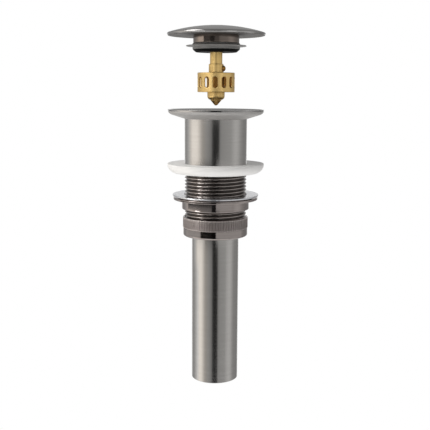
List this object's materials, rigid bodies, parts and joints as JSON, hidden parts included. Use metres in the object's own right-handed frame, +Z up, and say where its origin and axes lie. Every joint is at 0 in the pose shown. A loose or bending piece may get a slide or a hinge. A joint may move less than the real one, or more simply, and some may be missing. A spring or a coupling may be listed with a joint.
{
  "type": "pop up basin waste",
  "caption": "Click type pop up basin waste: domed stopper with slotted brass cartridge, flanged threaded barrel, white gasket, washer, lock nut, union nut and outlet tail.",
  "frame": {"origin": "on the axis, in the plane of the basin's surface, in whose recess the flange's rim lies", "axes": "+Z up along the common axis, out of the basin; the guide screw looks towards +X"},
  "size_m": [0.065, 0.065, 0.2414],
  "materials": {
    "brushed_nickel": "satin brushed nickel plate on brass",
    "bright_nickel": "dark bright nickel plate on brass",
    "polished_nickel": "polished plate on a flat washer",
    "brass": "turned bare brass, and the bronze spring",
    "spring_steel": "stainless stud",
    "white_rubber": "moulded white rubber",
    "dark_rubber": "moulded dark grey rubber",
    "black_plastic": "moulded black plastic"
  },
  "bodies": {
    "drain_body": {"drain_body": "brushed_nickel", "stopper_bridge": "brass"},
    "basin_gasket": {"basin_gasket": "white_rubber"},
    "friction_washer": {"friction_washer": "polished_nickel"},
    "lock_nut": {"lock_nut": "bright_nickel"},
    "tailpiece": {"tailpiece": "brushed_nickel", "tail_washer": "dark_rubber"},
    "union_nut": {"union_nut": "bright_nickel"},
    "cartridge": {"slotted_cage": "brass", "nose_plug": "brass", "return_spring": "brass"},
    "cam_spindle": {"cam_spindle": "brass", "cone_tip": "brass"},
    "stopper_head": {"stopper_cap": "brushed_nickel", "cap_stud": "spring_steel", "seal_carrier": "bright_nickel", "lip_seal": "dark_rubber", "seal_retainer": "black_plastic", "plunger_sleeve": "brass", "guide_screw": "brass"}
  },
  "joints": [
    {"name": "stopper_lift", "type": "slide", "parent": "drain_body", "child": "cartridge", "axis": [0, 0, 1], "range_m": [-0.0363, 0]},
    {"name": "cap_press", "type": "slide", "parent": "cartridge", "child": "stopper_head", "axis": [0, 0, 1], "range_m": [-0.0085, 0], "stiffness_N_per_m": 1300, "springref_m": 0.004, "deforming": ["return_spring"]},
    {"name": "cam_turn", "type": "hinge", "parent": "cartridge", "child": "cam_spindle", "pos_m": [0, 0, 0.02], "axis": [0, 0, 1], "range_deg": [-90, 0]},
    {"name": "gasket_slide", "type": "slide", "parent": "drain_body", "child": "basin_gasket", "axis": [0, 0, 1], "range_m": [0, 0.028]},
    {"name": "lock_travel", "type": "slide", "parent": "drain_body", "child": "friction_washer", "axis": [0, 0, 1], "range_m": [-0.00462, 0.01385]},
    {"name": "lock_turn", "type": "hinge", "parent": "friction_washer", "child": "lock_nut", "pos_m": [0, 0, -0.06], "axis": [0, 0, 1], "range_deg": [-720, 2160]},
    {"name": "union_travel", "type": "slide", "parent": "drain_body", "child": "tailpiece", "axis": [0, 0, 1], "range_m": [-0.00693, 0]},
    {"name": "union_turn", "type": "hinge", "parent": "tailpiece", "child": "union_nut", "pos_m": [0, 0, -0.077], "axis": [0, 0, 1], "range_deg": [-1080, 0]}
  ],
  "couplings": [
    {"joint": "cam_turn", "follows": "cap_press", "rad_per_m": 184.8},
    {"joint": "lock_travel", "follows": "lock_turn", "m_per_rad": 0.00036749},
    {"joint": "union_turn", "follows": "union_travel", "rad_per_m": 2721.2}
  ]
}
